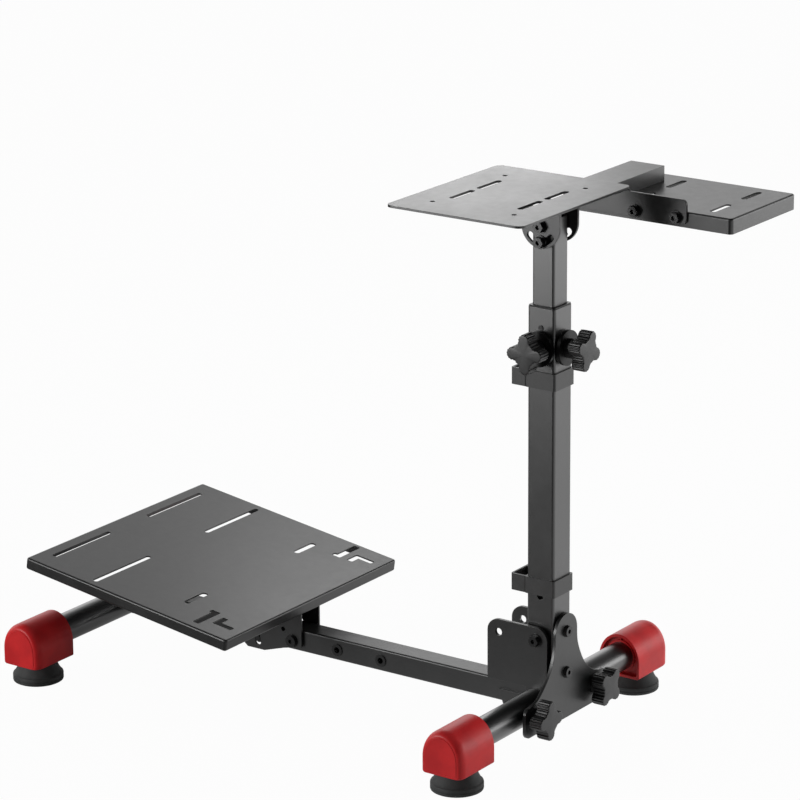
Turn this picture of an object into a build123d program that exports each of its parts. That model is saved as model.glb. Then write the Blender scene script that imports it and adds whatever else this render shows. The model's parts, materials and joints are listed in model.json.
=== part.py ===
from build123d import *
from math import cos, radians, sin
import os

os.makedirs("parts", exist_ok=True)

# Clearances
pin_gap = 0.3
slide_gap = 0.3
bolt_gap = 0.2
knob_gap = 0.4
stud_gap = 0.5

# Base tubes
tube_r = 19.0
tube_wall = 1.5
tube_z = 54.5
tube_half = 238.0
wheelbase = 672.0

# Centre beam with threaded inserts
beam_w = 32.0
beam_h = 30.0
beam_lift = 0.5
beam_wall = 1.8
beam_corner = 2.5
insert_bore = 8.4
insert_r = 8.2
insert_t = 1.4
insert_near = 250.0
insert_step = 70.0

# Saddles under the beam
saddle_long = 64.0
saddle_short = 56.0
saddle_up = 2.5
saddle_down = 17.5
saddle_side = 3.0

# End caps
cap_r = 32.0
cap_in = 169.0
cap_out = 252.0
cap_drop = 24.5
cap_corner = 3.0
cap_wall = 4.0
cap_round = 8.0
panel_inset = 9.3
panel_rise = 0.7
mouth_depth = 4.0
pocket_depth = 3.0
collar_t = 2.4
rib_t = 2.4

# Rubber feet
foot_x = 206.0
foot_r = 33.4
foot_edge = 1.5
foot_rim = 10.5
foot_neck = 24.5
foot_waist = 1.6
groove_z = 5.0
groove_w = 0.8

# Base ears
ear_in = 26.0
ear_t = 4.0
ear_lift = 4.0
ear_root = 5.5
ear_leg = 15.0
ear_r = 17.0
fold_rise = 84.5
hole_step = 56.0
lock_hole = 9.0

# Posts
post_w = 40.0
post_r = 3.5
post_wall = 1.8
post_drop = 55.0
post_len = 487.0
inner_w = 32.0
inner_r = 3.0
inner_wall = 1.5
inner_len = 400.0
reach = 113.0
bush_depth = 30.0
bush_lip = 2.0
bush_inset = 0.5
screw_drop = 25.0
screw_r = 3.2
screw_h = 1.2

# Bolts
m8 = 8.0
m10 = 10.0
washer_r = 8.8
washer_t = 1.4
hex_r = 7.3
nut_r = 6.7
head_h = 5.5
socket_r = 3.2
socket_depth = 3.0
button_r = 8.0
button_h = 4.6
button_taper = 14.0
bush_r = 9.0
collar_r = 6.5

# Plate that locks the post to the front tube
front_back = 23.0
front_t = 4.0
knob_drop = 0.5
knob_x = 70.0
arm_x = 94.0
arm_down = 23.0
arm_up = 17.0
arm_corner = 10.0
arm_flat = 82.0
flare_x = 58.0
flare_z = 26.0
waist_x = 40.0
waist_z = 44.0
neck_x = 28.0
neck_z = 68.0
crown_r = 25.0
crown_z = 92.0
plate_bolt_z = 39.0
plate_bolt_step = 55.0
spacer_inset = 1.0
spacer_drop = 7.0

# Star knobs
star_r = 25.8
star_core = 16.5
lobe_r = 8.2
lobe_count = 4
valley_r = 5.5
star_h = 16.0
star_edge = 2.0
shank_r = 12.5
low_shank = 6.0
tall_shank = 12.5
low_stud = 6.2
height_drop = 51.0
front_lobe = 67.0
side_lobe = 92.0
left_lobe = 88.0
right_lobe = 47.0
boss_neck_r = 15.0
boss_neck = 4.0
boss_r = 22.5
boss_t = 4.5

# Cable clips
clip_t = 2.4
clip_h = 22.0
clip_corner = 3.0
loop_w = 43.0
loop_d = 23.4
low_clip_rise = 57.5
top_clip_drop = 52.5

# Tilting deck
tilt_drop = 9.0
deck_rise = 27.0
deck_ear_in = 18.5
deck_ear_t = 3.5
deck_ear_r = 28.0
slot_r = 19.5
slot_w = 9.0
slot_half = 50.0

# Wheel plate
plate_t = 3.0
plate_w = 250.0
plate_near = -40.0
plate_far = 160.0
plate_corner = 10.0
wheel_hole = 6.6
wheel_x = 160.0
wheel_y = 120.0
wheel_slot_w = 8.5
wheel_slot_len = 50.0
wheel_slot_x = 60.0
wheel_slot_y = 100.0

# Shifter strip, brace and tray
sheet = 3.0
strip_near = -121.0
strip_far = 60.0
strip_down = 16.0
strip_corner = 7.0
flange_w = 30.0
flange_near = -35.0
step_down = 4.0
brace_h = 20.0
brace_d = 50.0
brace_near = -12.0
brace_len = 123.0
tray_w = 158.0
tray_t = 2.0
tray_near = -184.0
tray_far = 46.0
tray_drop = 20.0
tray_corner = 5.0
tray_bend = 2.4
tray_slot_x = 76.0
tray_slot_y = 110.0
tray_slot_len = 44.0
tray_slot_shift = -20.0
tray_bolt_near = -106.0
tray_bolt_step = 60.0
tray_bolt_drop = 8.0

# Pedal plate
pedal_w = 378.0
pedal_d = 335.0
pedal_tilt = 8.3
pedal_y = 369.2
pedal_z = 110.7
pedal_drop = 16.0
pedal_t = 2.0
pedal_corner = 4.0
pedal_bend = 2.6
slot_corner = 2.5
far_v = 314.0
far_x = 99.0
far_len = 118.0
mid_v = 228.5
mid_x = 118.5
mid_len = 117.0
row_w = 7.5
near_v = 106.0
near_x = 119.5
near_len = 44.0
near_w = 9.0
key_v = 60.5
key_x = 155.0
key_len = 48.0
key_w = 9.8
key_head = 8.5
key_bump = 4.2
row_shift = 3.0
hook_v = 41.0
hook_x = 148.0
hook_len = 24.0
hook_w = 9.0
hook_leg = 30.0

# Bracket under the pedal plate
pivot_y = 390.0
arc_r = 58.0
arc_low = -12.9
arc_span = 13.5
bracket_in = 18.5
bracket_t = 2.5
bracket_near = 15.0
bracket_far = 106.0
bracket_nose = 6.5
knee_y = 14.0
knee_z = 13.0
sole_y = 46.0
sole_end = 74.0
sole_z = 23.0
heel_z = 3.5
disc_r = 7.6
disc_h = 3.2
side_hole = 6.4
side_hole_y = 14.6
side_hole_z = 13.6

# Places worked out from the sizes above
beam_z = tube_z + beam_lift
beam_top = beam_z + beam_h / 2
cap_bottom = tube_z - cap_drop
knob_z = tube_z - knob_drop
fold_z = tube_z + fold_rise
post_bottom = fold_z - post_drop
post_top = post_bottom + post_len
inner_top = post_top + reach
inner_bottom = inner_top - inner_len
height_z = post_top - height_drop
tilt_z = inner_top - tilt_drop
plate_z = tilt_z + deck_rise
tray_z = plate_z - plate_t - brace_h
low_bolt_z = knob_z + plate_bolt_z
high_bolt_z = low_bolt_z + plate_bolt_step
tray_bolt_z = tray_z - tray_bolt_drop
strip_x = plate_w / 2 - sheet
tray_x = strip_x + sheet
ear_bottom = beam_top + ear_lift
waist_r = (foot_r - foot_edge + foot_neck) / 2 - foot_waist
waist_mid = (foot_rim + cap_bottom) / 2
lock_y = pivot_y + arc_r * cos(radians(pedal_tilt))
lock_z = tube_z - arc_r * sin(radians(pedal_tilt))
bolt_bore = m8 / 2 + bolt_gap
knob_bore = m8 / 2 + knob_gap
tall_stud = boss_neck + boss_t + (post_w - inner_w) / 2 - stud_gap

# Cross tube with open ends
with BuildPart() as front_tube:
    with BuildSketch(Plane.YZ.offset(-tube_half)):
        with Locations((0, tube_z)):
            Circle(tube_r)
            Circle(tube_r - tube_wall, mode=Mode.SUBTRACT)
    extrude(amount=2 * tube_half)

with BuildPart() as rear_tube:
    with Locations((0, wheelbase, 0)):
        add(front_tube.part)

# Centre beam coped against both tubes
with BuildPart() as main_beam:
    with BuildSketch(Plane.XZ):
        with Locations((0, beam_z)):
            RectangleRounded(beam_w, beam_h, beam_corner)
            RectangleRounded(
                beam_w - 2 * beam_wall,
                beam_h - 2 * beam_wall,
                beam_corner - beam_wall,
                mode=Mode.SUBTRACT,
            )
    extrude(amount=-wheelbase)
    with Locations((0, 0, tube_z), (0, wheelbase, tube_z)):
        Cylinder(tube_r, 2 * beam_w, rotation=(0, 90, 0), mode=Mode.SUBTRACT)
    with Locations((0, insert_near, tube_z), (0, insert_near + insert_step, tube_z)):
        Cylinder(insert_bore / 2, 2 * beam_w, rotation=(0, 90, 0), mode=Mode.SUBTRACT)
    with Locations((0, pivot_y, tube_z), (0, lock_y, lock_z)):
        Cylinder(m8 / 2, 2 * beam_w, rotation=(0, 90, 0), mode=Mode.SUBTRACT)

# Flanged thread inserts in the beam sides
with BuildPart() as beam_inserts:
    for insert_y in (insert_near, insert_near + insert_step):
        with Locations((0, insert_y, tube_z)):
            Cylinder(insert_r, beam_w + 2 * insert_t, rotation=(0, 90, 0))
    Box(beam_w, 2 * wheelbase, 4 * tube_z, mode=Mode.SUBTRACT)
    with Locations((0, insert_near, tube_z), (0, insert_near + insert_step, tube_z)):
        Cylinder(insert_bore / 2, 2 * beam_w, rotation=(0, 90, 0), mode=Mode.SUBTRACT)

# Saddles that cradle the beam at the tubes
with BuildPart() as front_saddle:
    with BuildSketch(Plane.YZ.offset(-beam_w / 2 - saddle_side)):
        with BuildLine():
            Polyline(
                (0, tube_z + saddle_up),
                (saddle_long, tube_z + saddle_up),
                (saddle_short, tube_z - saddle_down),
                (0, tube_z - saddle_down),
                close=True,
            )
        make_face()
    extrude(amount=beam_w + 2 * saddle_side)
    with Locations((0, 0, beam_z)):
        Box(beam_w, 4 * saddle_long, beam_h, mode=Mode.SUBTRACT)
    with Locations((0, 0, tube_z)):
        Cylinder(tube_r, 2 * beam_w, rotation=(0, 90, 0), mode=Mode.SUBTRACT)

with BuildPart() as rear_saddle:
    mirror(front_saddle.part, about=Plane.XZ.offset(-wheelbase / 2))


def cap_view(inset):
    # End view of a cap, an arch on straight sides, drawn in by the inset
    side = cap_r - inset
    low = cap_bottom + inset
    with BuildSketch() as view:
        with BuildLine():
            Polyline((-side, tube_z), (-side, low), (side, low), (side, tube_z))
            ThreePointArc((side, tube_z), (0, tube_z + side), (-side, tube_z))
        make_face()
        fillet(view.vertices().group_by(Axis.Y)[0], cap_corner)
    return view.sketch


cap_outside = cap_view(0)
cap_inside = cap_view(cap_wall)
cap_panel = cap_view(panel_inset)

# Red end cap, a moulded shell with a ribbed collar round the tube
with BuildPart() as cap_front_right:
    with BuildSketch(Plane.YZ.offset(cap_in)):
        add(cap_outside)
    extrude(amount=cap_out - panel_rise - cap_in)
    fillet(cap_front_right.faces().sort_by(Axis.X)[-1].edges(), cap_round)
    with BuildSketch(Plane.YZ.offset(cap_out - panel_rise)):
        add(cap_panel)
    extrude(amount=panel_rise)
    with BuildSketch(Plane.YZ.offset(cap_in)):
        add(cap_inside)
    extrude(amount=mouth_depth, mode=Mode.SUBTRACT)
    with BuildSketch(Plane.YZ.offset(cap_in + mouth_depth)):
        add(cap_inside)
        with Locations((0, tube_z)):
            Circle(tube_r + collar_t, mode=Mode.SUBTRACT)
            Rectangle(rib_t, 2 * cap_r, mode=Mode.SUBTRACT)
            Rectangle(2 * cap_r, rib_t, mode=Mode.SUBTRACT)
    extrude(amount=pocket_depth, mode=Mode.SUBTRACT)
    with BuildSketch(Plane.YZ.offset(cap_in)):
        with Locations((0, tube_z)):
            Circle(tube_r)
    extrude(amount=tube_half - cap_in, mode=Mode.SUBTRACT)

with BuildPart() as cap_front_left:
    mirror(cap_front_right.part, about=Plane.YZ)

with BuildPart() as cap_rear_right:
    with Locations((0, wheelbase, 0)):
        add(cap_front_right.part)

with BuildPart() as cap_rear_left:
    with Locations((0, wheelbase, 0)):
        add(cap_front_left.part)

# Rubber feet, a grooved rim and a cone up to the cap
with BuildPart() as foot_shape:
    with BuildSketch(Plane.XZ):
        with BuildLine():
            Polyline(
                (0, 0),
                (foot_r - foot_edge, 0),
                (foot_r, foot_edge),
                (foot_r, groove_z - groove_w),
                (foot_r - groove_w, groove_z),
                (foot_r, groove_z + groove_w),
                (foot_r, foot_rim - foot_edge),
                (foot_r - foot_edge, foot_rim),
            )
            ThreePointArc((foot_r - foot_edge, foot_rim), (waist_r, waist_mid), (foot_neck, cap_bottom))
            Polyline((foot_neck, cap_bottom), (0, cap_bottom), (0, 0))
        make_face()
    revolve(axis=Axis.Z)

with BuildPart() as foot_front_right:
    with Locations((foot_x, 0, 0)):
        add(foot_shape.part)

with BuildPart() as foot_front_left:
    with Locations((-foot_x, 0, 0)):
        add(foot_shape.part)

with BuildPart() as foot_rear_right:
    with Locations((foot_x, wheelbase, 0)):
        add(foot_shape.part)

with BuildPart() as foot_rear_left:
    with Locations((-foot_x, wheelbase, 0)):
        add(foot_shape.part)

# Base ears on both sides of the post
with BuildPart() as ear_right:
    with BuildSketch(Plane.YZ.offset(ear_in)) as ear_profile:
        with BuildLine():
            Polyline(
                (-ear_r, tube_z + ear_root),
                (ear_leg, tube_z + ear_root),
                (ear_leg, ear_bottom),
                (hole_step + ear_r, ear_bottom),
                (hole_step + ear_r, fold_z + ear_r),
                (-ear_r, fold_z + ear_r),
                close=True,
            )
        make_face()
        fillet(ear_profile.vertices().group_by(Axis.Y)[-1], ear_r)
        with Locations((0, fold_z), (hole_step, fold_z)):
            Circle(m10 / 2, mode=Mode.SUBTRACT)
    extrude(amount=ear_t)
    with Locations((0, 0, tube_z)):
        Cylinder(tube_r, 2 * post_w, rotation=(0, 90, 0), mode=Mode.SUBTRACT)

with BuildPart() as ear_left:
    mirror(ear_right.part, about=Plane.YZ)

# Washer and hexagon head with a socket, standing on the origin and pointing up
with BuildPart() as hex_head:
    Cylinder(washer_r, washer_t, align=(Align.CENTER, Align.CENTER, Align.MIN))
    with BuildSketch(Plane.XY.offset(washer_t)):
        RegularPolygon(hex_r, 6)
    extrude(amount=head_h)
    with BuildSketch(Plane.XY.offset(washer_t + head_h)):
        RegularPolygon(socket_r, 6)
    extrude(amount=-socket_depth, mode=Mode.SUBTRACT)

# Washer and flat round head, standing on the origin and pointing up
with BuildPart() as disc_head:
    Cylinder(washer_r, washer_t, align=(Align.CENTER, Align.CENTER, Align.MIN))
    Cylinder(disc_r, washer_t + disc_h, align=(Align.CENTER, Align.CENTER, Align.MIN))
    with BuildSketch(Plane.XY.offset(washer_t + disc_h)):
        RegularPolygon(socket_r, 6)
    extrude(amount=-socket_depth, mode=Mode.SUBTRACT)

# Button head with a socket, standing on the origin and pointing up
with BuildPart() as button_head:
    with BuildSketch():
        Circle(button_r)
    extrude(amount=button_h, taper=button_taper)
    with BuildSketch(Plane.XY.offset(button_h)):
        RegularPolygon(socket_r, 6)
    extrude(amount=-socket_depth, mode=Mode.SUBTRACT)


def outward(side, x, y, z):
    # Plane at a place beside the middle, facing away from it
    return Plane(origin=(side * x, y, z), x_dir=(0, 1, 0), z_dir=(side, 0, 0))


# Fold bolt with heads, washers and the bushes beside the post
with BuildPart() as fold_bolt:
    with Locations((0, 0, fold_z)):
        Cylinder(m10 / 2, 2 * (ear_in + ear_t + washer_t), rotation=(0, 90, 0))
    for side in (-1, 1):
        with Locations((side * (ear_in + post_w / 2) / 2, 0, fold_z)):
            Cylinder(bush_r, ear_in - post_w / 2 - bolt_gap, rotation=(0, 90, 0))
        with Locations(outward(side, ear_in + ear_t, 0, fold_z)):
            add(hex_head.part)

# Outer post, square tube
with BuildPart() as outer_post:
    with BuildSketch(Plane.XY.offset(post_bottom)):
        RectangleRounded(post_w, post_w, post_r)
        RectangleRounded(
            post_w - 2 * post_wall,
            post_w - 2 * post_wall,
            post_r - post_wall,
            mode=Mode.SUBTRACT,
        )
    extrude(amount=post_len)
    with Locations((0, 0, fold_z)):
        Cylinder(m10 / 2 + pin_gap, 2 * post_w, rotation=(0, 90, 0), mode=Mode.SUBTRACT)
    with Locations((0, 0, fold_z + hole_step)):
        Cylinder(lock_hole / 2, 2 * post_w, rotation=(0, 90, 0), mode=Mode.SUBTRACT)
    with Locations((0, -post_w / 2, low_bolt_z), (0, -post_w / 2, high_bolt_z)):
        Cylinder(bolt_bore, post_w / 2, rotation=(90, 0, 0), mode=Mode.SUBTRACT)
    with Locations((0, -post_w / 2, height_z)):
        Cylinder(knob_bore, post_w / 2, rotation=(90, 0, 0), mode=Mode.SUBTRACT)
    with Locations((-post_w / 2, 0, height_z)):
        Cylinder(knob_bore, post_w / 2, rotation=(0, 90, 0), mode=Mode.SUBTRACT)

# Plate that locks the post to the front tube
knob_plane = Plane(origin=(0, -front_back, knob_z), x_dir=(1, 0, 0), z_dir=(0, -1, 0))

with BuildPart() as front_plate:
    with BuildSketch(knob_plane) as plate_profile:
        with BuildLine():
            ThreePointArc((crown_r, crown_z), (0, crown_z + crown_r), (-crown_r, crown_z))
            Spline(
                (-crown_r, crown_z),
                (-neck_x, neck_z),
                (-waist_x, waist_z),
                (-flare_x, flare_z),
                (-arm_flat, arm_up),
                tangents=((0, -1), (-1, -0.12)),
            )
            Polyline(
                (-arm_flat, arm_up),
                (-arm_x, arm_up),
                (-arm_x, -arm_down),
                (arm_x, -arm_down),
                (arm_x, arm_up),
                (arm_flat, arm_up),
            )
            Spline(
                (arm_flat, arm_up),
                (flare_x, flare_z),
                (waist_x, waist_z),
                (neck_x, neck_z),
                (crown_r, crown_z),
                tangents=((-1, 0.12), (0, 1)),
            )
        make_face()
        fillet(plate_profile.vertices().filter_by(lambda v: abs(v.X) > arm_flat + 1), arm_corner)
        with Locations((0, plate_bolt_z), (0, plate_bolt_z + plate_bolt_step)):
            Circle(bolt_bore, mode=Mode.SUBTRACT)
        with Locations((-knob_x, 0), (knob_x, 0)):
            Circle(knob_bore, mode=Mode.SUBTRACT)
    extrude(amount=front_t)

# Black spacer between the post and the front plate
with BuildPart() as plate_spacer:
    with BuildSketch(Plane.XZ.offset(post_w / 2)):
        with Locations((0, (low_bolt_z - spacer_drop + high_bolt_z) / 2)):
            Rectangle(post_w - 2 * spacer_inset, plate_bolt_step + spacer_drop)
        with Locations((0, high_bolt_z)):
            Circle(post_w / 2 - spacer_inset)
        with Locations((0, low_bolt_z), (0, high_bolt_z)):
            Circle(bolt_bore, mode=Mode.SUBTRACT)
    extrude(amount=front_back - post_w / 2)

# Button head bolts through the plate and the post wall
with BuildPart() as plate_bolts:
    for bolt_z in (low_bolt_z, high_bolt_z):
        with Locations((0, -(front_back + front_t), bolt_z)):
            Cylinder(
                m8 / 2,
                front_back + front_t - post_w / 2 + post_wall,
                rotation=(90, 0, 0),
                align=(Align.CENTER, Align.CENTER, Align.MAX),
            )
        with Locations(Plane(origin=(0, -(front_back + front_t), bolt_z), x_dir=(1, 0, 0), z_dir=(0, -1, 0))):
            add(button_head.part)

# Stepped bosses under the height knobs
with BuildPart() as boss_shape:
    with BuildSketch():
        Circle(boss_neck_r)
        Circle(m10 / 2, mode=Mode.SUBTRACT)
    extrude(amount=boss_neck)
    with BuildSketch(Plane.XY.offset(boss_neck)):
        Circle(boss_r)
        Circle(m10 / 2, mode=Mode.SUBTRACT)
    extrude(amount=boss_t)

front_face = Plane(origin=(0, -post_w / 2, height_z), x_dir=(1, 0, 0), z_dir=(0, -1, 0))
side_face = Plane(origin=(-post_w / 2, 0, height_z), x_dir=(0, -1, 0), z_dir=(-1, 0, 0))

with BuildPart() as front_boss:
    with Locations(front_face):
        add(boss_shape.part)

with BuildPart() as side_boss:
    with Locations(side_face):
        add(boss_shape.part)

# Plastic bush between the two posts
with BuildPart() as post_bush:
    with BuildSketch(Plane.XY.offset(post_top - bush_depth)):
        RectangleRounded(post_w - 2 * post_wall, post_w - 2 * post_wall, post_r - post_wall)
    extrude(amount=bush_depth)
    with BuildSketch(Plane.XY.offset(post_top)):
        RectangleRounded(post_w - 2 * bush_inset, post_w - 2 * bush_inset, post_r - bush_inset)
    extrude(amount=bush_lip)
    with Locations((0, 0, post_top)):
        Box(inner_w + 2 * slide_gap, inner_w + 2 * slide_gap, 4 * bush_depth, mode=Mode.SUBTRACT)

with BuildPart() as bush_screw:
    with Locations((-(post_w + screw_h) / 2, 0, post_top - screw_drop)):
        Cylinder(screw_r, screw_h, rotation=(0, 90, 0))

# Cable clips with a square loop behind the post
with BuildPart() as lower_clip:
    with BuildSketch(Plane.XY.offset(fold_z + low_clip_rise)):
        RectangleRounded(post_w + 2 * clip_t, post_w + 2 * clip_t, clip_corner)
        with Locations((0, (post_w + loop_d) / 2)):
            RectangleRounded(loop_w, loop_d, clip_corner)
            RectangleRounded(loop_w - 2 * clip_t, loop_d - 2 * clip_t, clip_corner / 2, mode=Mode.SUBTRACT)
        RectangleRounded(post_w, post_w, post_r, mode=Mode.SUBTRACT)
    extrude(amount=clip_h)

with BuildPart() as upper_clip:
    with Locations((0, 0, height_z - top_clip_drop - fold_z - low_clip_rise)):
        add(lower_clip.part)

# Inner post that slides in the bush
with BuildPart() as inner_post:
    with BuildSketch(Plane.XY.offset(inner_bottom)):
        RectangleRounded(inner_w, inner_w, inner_r)
        RectangleRounded(
            inner_w - 2 * inner_wall,
            inner_w - 2 * inner_wall,
            inner_r - inner_wall,
            mode=Mode.SUBTRACT,
        )
    extrude(amount=inner_len)
    with Locations((0, 0, tilt_z), (0, 0, tilt_z - slot_r)):
        Cylinder(m8 / 2, 2 * inner_w, rotation=(0, 90, 0), mode=Mode.SUBTRACT)

# Pivot bolt and locking bolt of the tilting deck
with BuildPart() as deck_bolts:
    for bolt_z in (tilt_z, tilt_z - slot_r):
        with Locations((0, 0, bolt_z)):
            Cylinder(m8 / 2, 2 * (deck_ear_in + deck_ear_t + washer_t), rotation=(0, 90, 0))
        for side in (-1, 1):
            with Locations((side * (deck_ear_in + inner_w / 2) / 2, 0, bolt_z)):
                Cylinder(collar_r, deck_ear_in - inner_w / 2 - bolt_gap, rotation=(0, 90, 0))
            with Locations(outward(side, deck_ear_in + deck_ear_t + bolt_gap, 0, bolt_z)):
                add(hex_head.part)

# Ears that carry the wheel plate
with BuildPart() as deck_ear_right:
    with BuildSketch(Plane.YZ.offset(deck_ear_in)):
        with Locations((0, tilt_z)):
            Circle(deck_ear_r)
            Rectangle(2 * deck_ear_r, deck_rise - plate_t, align=(Align.CENTER, Align.MIN))
        with Locations((0, plate_z - plate_t)):
            Rectangle(4 * deck_ear_r, deck_ear_r, align=(Align.CENTER, Align.MIN), mode=Mode.SUBTRACT)
        with Locations((0, tilt_z)):
            Circle(m8 / 2 + pin_gap, mode=Mode.SUBTRACT)
        with BuildLine(mode=Mode.PRIVATE) as slot_line:
            CenterArc((0, tilt_z), slot_r, -90 - slot_half, 2 * slot_half)
        SlotArc(slot_line.edge(), slot_w, mode=Mode.SUBTRACT)
    extrude(amount=deck_ear_t)

with BuildPart() as deck_ear_left:
    mirror(deck_ear_right.part, about=Plane.YZ)

# Wheel plate with fixing holes
with BuildPart() as wheel_plate:
    with BuildSketch(Plane.XY.offset(plate_z - plate_t)):
        with Locations((0, (plate_near + plate_far) / 2)):
            RectangleRounded(plate_w, plate_far - plate_near, plate_corner)
            with GridLocations(wheel_x, wheel_y, 2, 2):
                Circle(wheel_hole / 2, mode=Mode.SUBTRACT)
            with GridLocations(wheel_slot_x, wheel_slot_y, 2, 2):
                SlotOverall(wheel_slot_len, wheel_slot_w, mode=Mode.SUBTRACT)
    extrude(amount=plate_t)

# Strip with a flange that hangs the shifter tray on the wheel plate
with BuildPart() as shifter_bracket:
    with BuildSketch(Plane.YZ.offset(strip_x)) as strip_profile:
        with BuildLine():
            Polyline(
                (strip_near, tray_z - strip_down),
                (strip_far, tray_z - strip_down),
                (strip_far, plate_z - plate_t),
                (flange_near, plate_z - plate_t),
                (flange_near - step_down, plate_z - plate_t - step_down),
                (strip_near, plate_z - plate_t - step_down),
                close=True,
            )
        make_face()
        fillet(strip_profile.vertices().group_by(Axis.X)[0], strip_corner)
    extrude(amount=sheet)
    with BuildSketch(Plane.XY.offset(plate_z - plate_t)):
        with Locations((tray_x, flange_near)):
            Rectangle(flange_w, strip_far - flange_near, align=(Align.MAX, Align.MIN))
    extrude(amount=-sheet)
    with Locations((strip_x, tray_bolt_near, tray_bolt_z), (strip_x, tray_bolt_near + tray_bolt_step, tray_bolt_z)):
        Cylinder(bolt_bore, 4 * sheet, rotation=(0, 90, 0), mode=Mode.SUBTRACT)

# Tray for the shifter, folded sheet open below
with BuildPart() as shifter_tray:
    with BuildSketch(Plane.XY.offset(tray_z)):
        with Locations((tray_x + tray_w / 2, (tray_near + tray_far) / 2)):
            RectangleRounded(tray_w, tray_far - tray_near, tray_corner)
    extrude(amount=-tray_drop)
    fillet(shifter_tray.faces().sort_by(Axis.Z)[-1].edges(), tray_bend)
    with BuildSketch(Plane.XY.offset(tray_z - tray_t)):
        with Locations((tray_x + tray_w / 2, (tray_near + tray_far) / 2)):
            RectangleRounded(tray_w - 2 * tray_t, tray_far - tray_near - 2 * tray_t, tray_corner - tray_t)
    extrude(amount=-tray_drop, mode=Mode.SUBTRACT)
    with BuildSketch(Plane.XY.offset(tray_z)):
        with Locations((tray_x + tray_w / 2, (tray_near + tray_far) / 2 + tray_slot_shift)):
            with GridLocations(tray_slot_x, tray_slot_y, 2, 2):
                SlotOverall(tray_slot_len, wheel_slot_w)
    extrude(amount=-tray_drop, mode=Mode.SUBTRACT)
    with Locations((tray_x, tray_bolt_near, tray_bolt_z), (tray_x, tray_bolt_near + tray_bolt_step, tray_bolt_z)):
        Cylinder(bolt_bore, 4 * sheet, rotation=(0, 90, 0), mode=Mode.SUBTRACT)

# Box brace between the wheel plate and the tray
with BuildPart() as tray_brace:
    with BuildSketch(Plane.YZ.offset(tray_x)):
        with Locations((brace_near + brace_d / 2, tray_z + brace_h / 2)):
            Rectangle(brace_d, brace_h)
            Rectangle(brace_d - 2 * sheet, brace_h - 2 * sheet, mode=Mode.SUBTRACT)
    extrude(amount=brace_len)

with BuildPart() as tray_bolts:
    for bolt_y in (tray_bolt_near, tray_bolt_near + tray_bolt_step):
        with Locations((strip_x - washer_t, bolt_y, tray_bolt_z)):
            Cylinder(
                m8 / 2,
                washer_t + sheet + tray_t + head_h + washer_t,
                rotation=(0, 90, 0),
                align=(Align.CENTER, Align.CENTER, Align.MIN),
            )
        with Locations(Plane(origin=(strip_x, bolt_y, tray_bolt_z), x_dir=(0, 1, 0), z_dir=(-1, 0, 0))):
            add(hex_head.part)
        with BuildSketch(Plane.YZ.offset(tray_x + tray_t)):
            with Locations((bolt_y, tray_bolt_z)):
                RegularPolygon(nut_r, 6)
        extrude(amount=head_h)

# Pedal plate, folded sheet on a tilted plane
pedal_plane = Plane(
    origin=(0, pedal_y, pedal_z),
    x_dir=(1, 0, 0),
    z_dir=(0, -sin(radians(pedal_tilt)), cos(radians(pedal_tilt))),
)

with BuildPart() as pedal_plate:
    with BuildSketch(pedal_plane):
        with Locations((0, pedal_d / 2)):
            RectangleRounded(pedal_w, pedal_d, pedal_corner)
    extrude(amount=-pedal_drop)
    fillet(pedal_plate.faces().sort_by(Axis.Z)[-1].edges(), pedal_bend)
    with BuildSketch(pedal_plane.offset(-pedal_t)):
        with Locations((0, pedal_d / 2)):
            RectangleRounded(pedal_w - 2 * pedal_t, pedal_d - 2 * pedal_t, pedal_corner - pedal_t)
    extrude(amount=-pedal_drop, mode=Mode.SUBTRACT)
    with BuildSketch(pedal_plane):
        for side in (-1, 1):
            with Locations((side * far_x, far_v)):
                SlotOverall(far_len, row_w)
            with Locations((side * mid_x, mid_v)):
                SlotOverall(mid_len, row_w)
            with Locations((side * near_x + row_shift, near_v)):
                SlotOverall(near_len, near_w)
            with Locations((side * key_x + row_shift, key_v)):
                RectangleRounded(key_len, key_w, slot_corner)
            with Locations((side * (key_x - (key_len - key_head) / 2) + row_shift, key_v + key_bump / 2)):
                RectangleRounded(key_head, key_w + key_bump, slot_corner)
            with Locations((side * hook_x, hook_v)):
                RectangleRounded(hook_len, hook_w, slot_corner)
            with Locations((side * (hook_x + (hook_len - hook_w) / 2), hook_v + hook_w / 2 - hook_leg / 2)):
                RectangleRounded(hook_w, hook_leg, slot_corner)
    extrude(amount=-2 * pedal_t, mode=Mode.SUBTRACT)

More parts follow.
